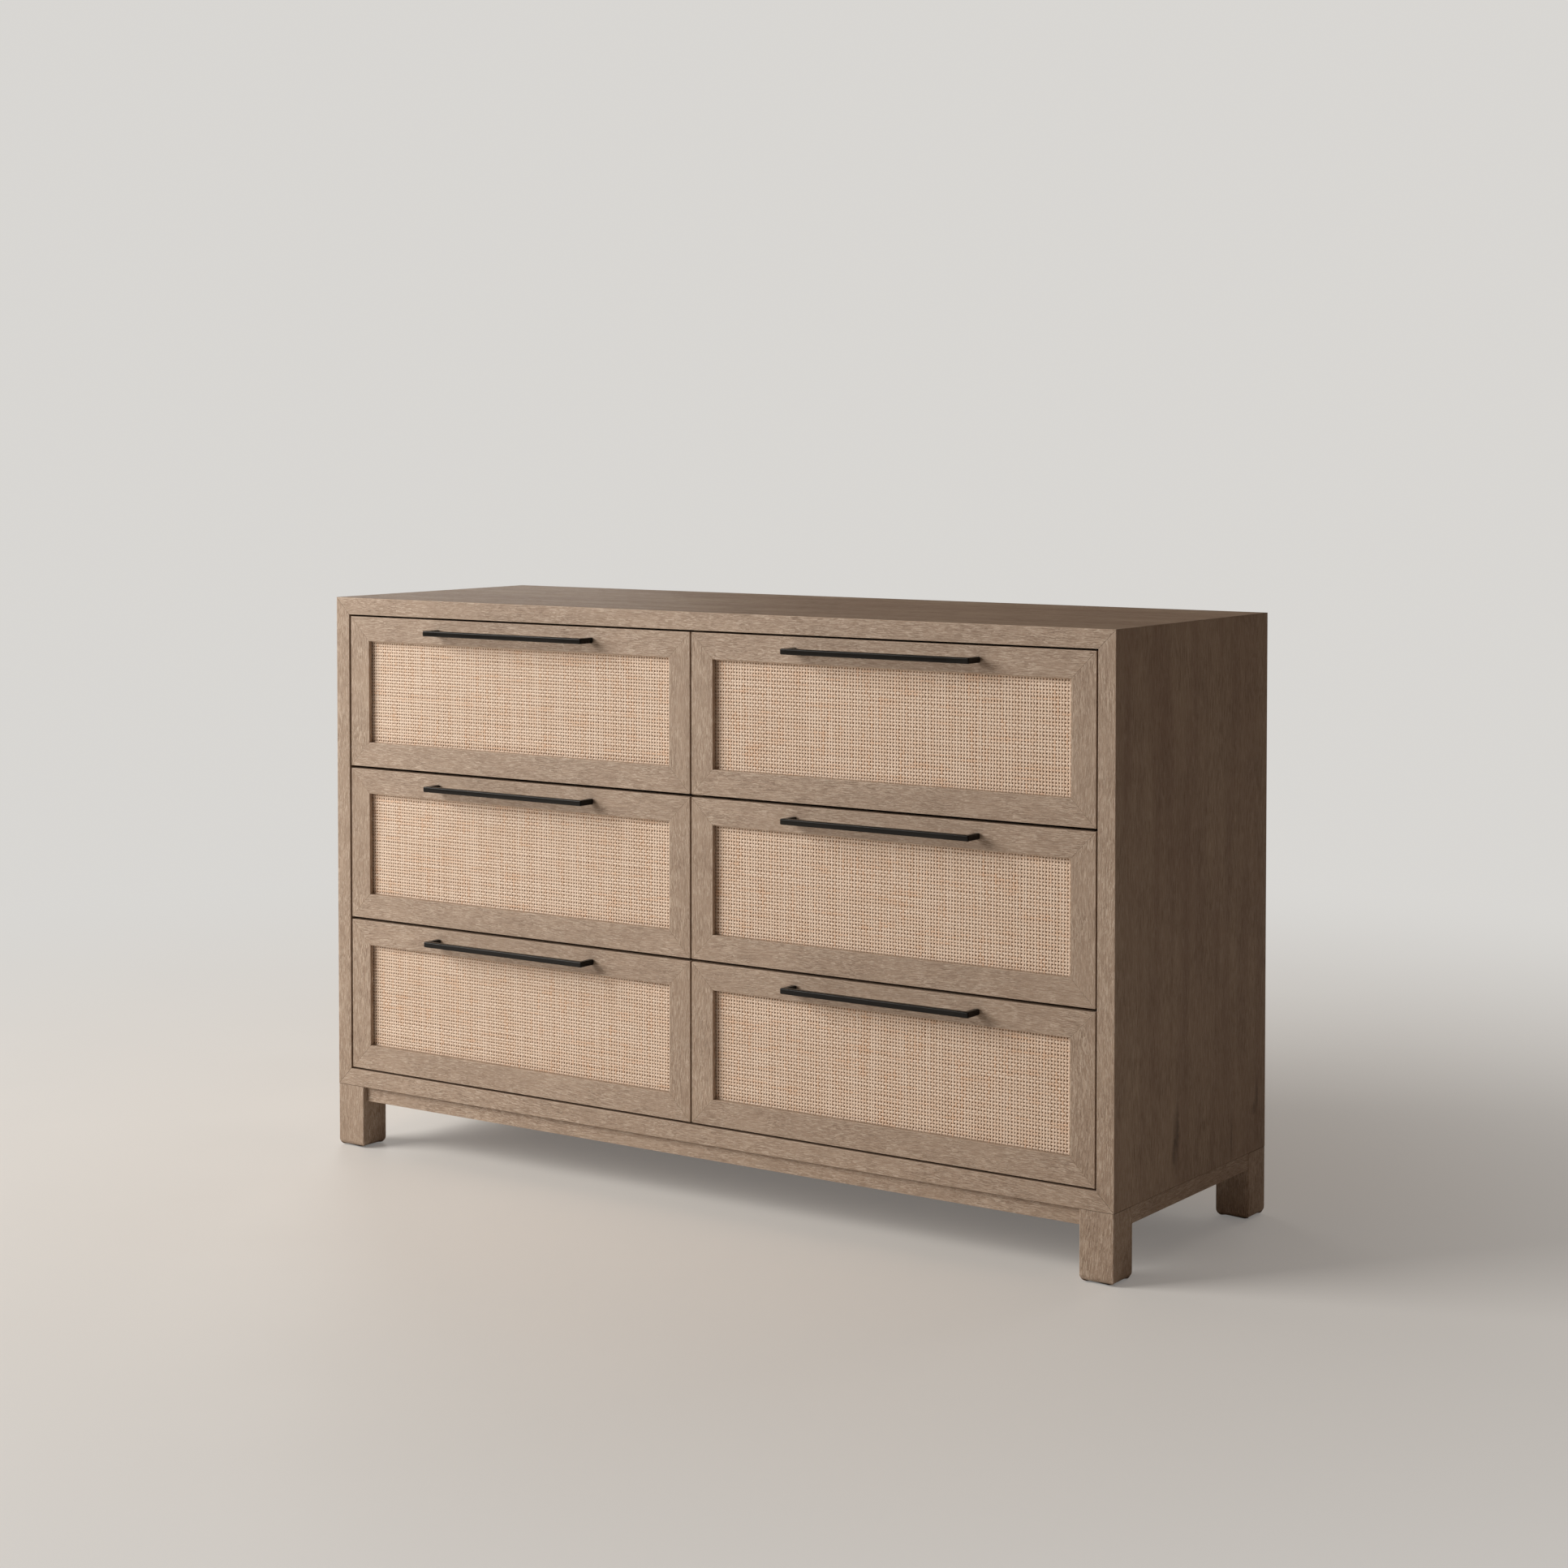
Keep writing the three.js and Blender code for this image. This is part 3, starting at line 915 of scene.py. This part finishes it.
def unevenStrands(weave, low, high, seed):
    # each strand sits a little to one side and sways along its length
    mesh = weave.data
    points = np.empty(len(mesh.vertices) * 3)
    mesh.vertices.foreach_get("co", points)
    points = points.reshape(-1, 3)
    kinds = np.empty(len(mesh.polygons), dtype=np.int32)
    mesh.polygons.foreach_get("material_index", kinds)
    sizes = np.empty(len(mesh.polygons), dtype=np.int32)
    mesh.polygons.foreach_get("loop_total", sizes)
    owners = np.empty(len(mesh.loops), dtype=np.int32)
    mesh.loops.foreach_get("vertex_index", owners)
    level = np.zeros(len(points), dtype=bool)
    level[owners[np.repeat(kinds, sizes) == 1]] = True
    draw = np.random.default_rng(seed)
    count = caneWeave["draws"]
    original = points.copy()
    for axis, chosen in ((0, ~level), (2, level)):
        centre = (low[axis] + high[axis]) / 2
        index = np.floor((original[:, axis] - centre) / caneWeave["pitch"]).astype(int)
        index = np.clip(index + count // 2, 0, count - 1)
        aside = draw.normal(0, caneWeave["sidestep"], count)[index]
        size = draw.uniform(0, caneWeave["sway"], count)[index]
        length = draw.uniform(*caneWeave["swayLength"], count)[index]
        start = draw.uniform(0, 2 * math.pi, count)[index]
        sway = size * np.sin(2 * math.pi * original[:, 2 - axis] / length + start)
        points[:, axis] += np.where(chosen, aside + sway, 0)
    mesh.vertices.foreach_set("co", points.ravel())
    mesh.update()


frontSet = {
    "lip": 0.008,  # thickness of the frame in front of the cane
    "rebate": 0.008,
    "width": 0.04,
    "gap": 0.00015,  # width of the joint line at a mitre
    "edge": 0.0009,
    "mitreShare": 0.3,
}


def frameMember(name, low, high, along, inner):
    # a rail or stile: a lip in front, a rebate behind it, mitred ends
    across = 2 - along
    lipHigh = list(high)
    lipHigh[1] = low[1] + frontSet["lip"]
    piece = addBlock(name, low, lipHigh)
    edit(piece)
    mitreEnds(piece, low, lipHigh, along, inner)
    innerEdge = high[across] if inner > 0 else low[across]
    stop = innerEdge - inner * frontSet["rebate"]
    cutAcross(across, stop)
    pickFaces(piece, lambda middle, normal: normal.y > 0.9 and (stop - middle[across]) * inner > 0)
    pull((0, high[1] - lipHigh[1], 0))
    editDone()
    grain = "x" if along == 0 else "z"
    paint(piece, oak[grain], oakEdgeHighlight[grain])
    softenMitred(piece, along, frontSet)
    return piece


def makeFrontFrame(prefix):
    low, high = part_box(prefix + "_front_frame")
    width = frontSet["width"]
    gap = frontSet["gap"] * math.sqrt(2)
    foot, head = low[2] + gap, high[2] - gap
    members = {
        "top_rail": ((low[0], low[1], high[2] - width), high, 0, -1),
        "bottom_rail": (low, (high[0], high[1], low[2] + width), 0, 1),
        "left_stile": ((low[0], low[1], foot), (low[0] + width, high[1], head), 2, 1),
        "right_stile": ((high[0] - width, low[1], foot), (high[0], high[1], head), 2, -1),
    }
    parts = []
    for label, member in members.items():
        parts.append((label, frameMember(prefix + "_" + label, *member), "oak", "front_frame"))
    return parts


def makeCane(prefix):
    low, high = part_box(prefix + "_front_frame")
    weave = makeWeave(prefix + "_cane_weave", low, high)
    caneLow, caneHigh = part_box(prefix + "_cane_panel")
    start = (caneLow[0], low[1] + caneWeave["backingFront"], caneLow[2])
    backing = addBlock(prefix + "_cane_backing", start, caneHigh)
    paint(backing, finishes["cane_backing"])
    soften(backing, caneWeave["backingEdge"], 2)
    parts = (("cane_weave", weave), ("cane_backing", backing))
    return [(label, piece, "cane", "cane_panel") for label, piece in parts]


pullSet = {"bar": 0.009, "edge": 0.002, "edgeSegments": 5}


def makePull(prefix):
    low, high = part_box(prefix + "_pull")
    bar = pullSet["bar"]
    piece = addBlock(prefix + "_bar_pull", low, (high[0], low[1] + bar, high[2]))
    edit(piece)
    cutAcross(0, low[0] + bar)
    cutAcross(0, high[0] - bar)
    inside = (low[0] + bar, high[0] - bar)
    pickFaces(piece, lambda middle, normal: normal.y > 0.9 and not inside[0] < middle.x < inside[1])
    pull((0, high[1] - low[1] - bar, 0))
    editDone()
    paint(piece, finishes["black_coat"])
    soften(piece, pullSet["edge"], pullSet["edgeSegments"])
    return [("bar_pull", piece, "pull_metal", "pull")]


screwSet = {
    "radius": 0.0038,
    "height": 0.0022,
    "dome": 0.45,  # share of the height
    "recess": 0.0019,
    "recessDepth": 0.0012,
    "sides": 16,
}


def makeScrew(place, facing):
    # a round head with a socket, on a surface that faces the given way
    bpy.ops.object.select_all(action="DESELECT")
    size = screwSet["radius"]
    tall = screwSet["height"]
    dome = tall * screwSet["dome"]
    top = tall - shapeSet["close"]
    bpy.ops.mesh.primitive_cylinder_add(
        vertices=screwSet["sides"], radius=size, depth=tall, location=(0, 0, tall / 2))
    piece = bpy.context.object
    settle(piece)
    edit(piece)
    pickEdges(piece, lambda middle, way: middle.z > top)
    bpy.ops.mesh.bevel(offset=dome, segments=3, affect="EDGES")
    pickFaces(piece, lambda middle, normal: normal.z > 0.99 and middle.z > top)
    bpy.ops.mesh.inset(thickness=size - dome - screwSet["recess"])
    pull((0, 0, -screwSet["recessDepth"]))
    editDone()
    bpy.ops.object.shade_smooth_by_angle(angle=shapeSet["shadeAngle"])
    paint(piece, finishes["zinc_steel"])
    piece.rotation_euler = Vector(facing).to_track_quat("Z", "Y").to_euler()
    piece.location = place
    settle(piece)
    return piece


boxSet = {
    "wall": 0.012,
    "topEdge": 0.002,
    "edge": 0.0005,
    "cornerGap": 0.0002,
    "bottomRise": 0.012,
    "bottomThickness": 0.0056,
    "groove": 0.0063,
}


def makeBox(prefix):
    low, high = (Vector(corner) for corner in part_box(prefix + "_box"))
    wall = boxSet["wall"]
    left = low.x + wall + boxSet["cornerGap"]
    right = high.x - wall - boxSet["cornerGap"]
    walls = {
        "box_left_side": (low, (low.x + wall, high.y, high.z), "y"),
        "box_right_side": ((high.x - wall, low.y, low.z), high, "y"),
        "box_front": ((left, low.y, low.z), (right, low.y + wall, high.z), "x"),
        "box_back": ((left, high.y - wall, low.z), (right, high.y, high.z), "x"),
    }
    reach = wall - boxSet["groove"]
    grooveLow = (low.x + reach, low.y + reach, low.z + boxSet["bottomRise"])
    grooveHigh = (high.x - reach, high.y - reach, grooveLow[2] + boxSet["bottomThickness"])
    pieces = []
    for label, (start, end, grain) in walls.items():
        piece = addBlock(prefix + "_" + label, start, end)
        cutOut(piece, grooveLow, grooveHigh)
        paint(piece, birch[grain])
        edit(piece)
        rim = high.z - shapeSet["close"]
        pickEdges(piece, lambda middle, way: middle.z > rim)
        bpy.ops.mesh.bevel(offset=boxSet["topEdge"], segments=4, affect="EDGES")
        editDone()
        soften(piece, boxSet["edge"], 2)
        pieces.append((label, piece, "drawer_box_wood", "box"))
    return pieces


frontScrewSet = {"across": 0.24, "heights": (0.055, 0.135)}


def makeFixings(prefix):
    # screws into the pull, and from the drawer box into the front
    low, high = (Vector(corner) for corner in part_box(prefix + "_pull"))
    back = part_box(prefix + "_front_frame")[1][1]
    boxLow, boxHigh = (Vector(corner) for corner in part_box(prefix + "_box"))
    half = pullSet["bar"] / 2
    level = (low.z + high.z) / 2
    spots = [(low.x + half, back, level), (high.x - half, back, level)]
    centre = (boxLow.x + boxHigh.x) / 2
    inner = boxLow.y + boxSet["wall"]
    across = frontScrewSet["across"]
    for x in (-across, across):
        spots += [(centre + x, inner, boxLow.z + z) for z in frontScrewSet["heights"]]
    screws = [makeScrew(spot, (0, 1, 0)) for spot in spots]
    return [("front_screws", join(screws, prefix + "_front_screws"), "slide_steel", None)]


memberSet = {
    "height": 0.025,
    "depth": 0.0095,
    "sheet": 0.0012,
    "rearGap": 0.014,
    "edge": 0.0004,
    "screws": (0.12, 0.5, 0.88),  # shares of the length
}


def makeMembers(prefix):
    # the drawer halves of the slides, open towards the cabinet
    low, high = (Vector(corner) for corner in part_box(prefix + "_box"))
    pieces = []
    for side, sign, edge in (("left", -1, low.x), ("right", 1, high.x)):
        slideLow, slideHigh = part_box(prefix + "_slide_" + side)
        middle = (slideLow[2] + slideHigh[2]) / 2
        half = memberSet["height"] / 2
        outer = edge + sign * memberSet["depth"]
        start = (min(edge, outer), slideLow[1], middle - half)
        end = (max(edge, outer), slideHigh[1] - memberSet["rearGap"], middle + half)
        channel = addBlock(prefix + "_member_" + side, start, end)
        edit(channel)
        pickFaces(channel, lambda centre, normal: abs(normal.y) > 0.9 or normal.x * sign > 0.9)
        bpy.ops.mesh.delete(type="ONLY_FACE")
        editDone()
        applyModifier(channel, "SOLIDIFY", thickness=memberSet["sheet"], offset=-1,
                      use_even_offset=True)
        paint(channel, finishes["zinc_steel"])
        soften(channel, memberSet["edge"], 2)
        face = edge + sign * memberSet["sheet"]
        length = end[1] - start[1]
        spots = [(face, start[1] + share * length, middle) for share in memberSet["screws"]]
        screws = [makeScrew(spot, (sign, 0, 0)) for spot in spots]
        channel = join([channel] + screws, prefix + "_member_" + side)
        pieces.append(("member_" + side, channel, "slide_steel", None))
    return pieces


rows = ("upper", "middle", "lower")
drawerNames = [row + "_" + side for row in rows for side in ("left", "right")]


def makeDrawers():
    # the first drawer is modelled, the others are copies of it
    first = drawerNames[0]
    parts = makeFrontFrame(first) + makePull(first) + makeBox(first)
    parts += makeFixings(first) + makeMembers(first) + makeCane(first)
    print("first drawer made:", len(parts), "pieces")
    origin = Vector(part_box(first + "_front_frame")[0])
    boxOrigin = Vector(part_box(first + "_box")[0])
    for count, prefix in enumerate(drawerNames):
        frontShift = Vector(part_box(prefix + "_front_frame")[0]) - origin
        boxShift = Vector(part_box(prefix + "_box")[0]) - boxOrigin
        for label, piece, slot, replaced in parts:
            inBox = label.startswith("box") or label.startswith("member")
            shift = boxShift if inBox else frontShift
            part = piece if count == 0 else copyTo(piece, prefix + "_" + label, shift)
            belong(part, prefix + "_drawer", slot, *([prefix + "_" + replaced] if replaced else []))
    for count, prefix in enumerate(drawerNames):
        weave = bpy.data.objects[prefix + "_cane_weave"]
        unevenStrands(weave, *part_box(prefix + "_front_frame"), caneWeave["seed"] + count)
    print("drawers made")


makeDrawers()


stopSet = {"thickness": 0.006, "length": 0.008, "half": 0.008, "rearGap": 0.0025, "edge": 0.0018}
cabinetSet = {"web": 0.0014, "screws": (0.08, 0.45, 0.86)}  # screws as shares of the length
backScrewHeights = (0.17, 0.39, 0.62, 0.85)


# pieces that keep their CAD shape only get a finish
def dress(node, material):
    for slot in nodes[node].material_slots:
        slot.material = material


def makeSlideFixings(prefix, side, sign):
    low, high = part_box(prefix + "_slide_" + side)
    web = (low[0] if sign > 0 else high[0]) + sign * cabinetSet["web"]
    level = (low[2] + high[2]) / 2
    length = high[1] - low[1]
    spots = [(web, low[1] + share * length, level) for share in cabinetSet["screws"]]
    screws = [makeScrew(spot, (sign, 0, 0)) for spot in spots]
    belong(join(screws, prefix + "_cabinet_screws_" + side), "carcass", "slide_steel")
    inner = web + sign * stopSet["thickness"]
    rear = high[1] - stopSet["rearGap"]
    start = (min(web, inner), rear - stopSet["length"], level - stopSet["half"])
    end = (max(web, inner), rear, level + stopSet["half"])
    stop = addBlock(prefix + "_slide_stop_" + side, start, end)
    paint(stop, finishes["rubber"])
    soften(stop, stopSet["edge"], 3)
    belong(stop, "carcass", "slide_steel")


for prefix in drawerNames:
    for side, sign in (("left", 1), ("right", -1)):
        dress(prefix + "_slide_" + side, finishes["zinc_steel"])
        makeSlideFixings(prefix, side, sign)
    dress(prefix + "_box_bottom", birch["x"])
for corner in corners:
    dress(corner + "_glide", finishes["nylon"])
dress("centre_divider", birch["y"])
dress("back_panel", finishes["hardboard"])
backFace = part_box("back_panel")[1][1]
backScrews = [makeScrew((0, backFace, z), (0, 1, 0)) for z in backScrewHeights]
belong(join(backScrews, "back_panel_screws"), "carcass", "slide_steel")
print("slides, glides and fixings made")

meshes = [piece.data for piece in bpy.data.objects if piece.type == "MESH"]
triangles = sum(len(face.vertices) - 2 for mesh in meshes for face in mesh.polygons)
print("triangles:", triangles)
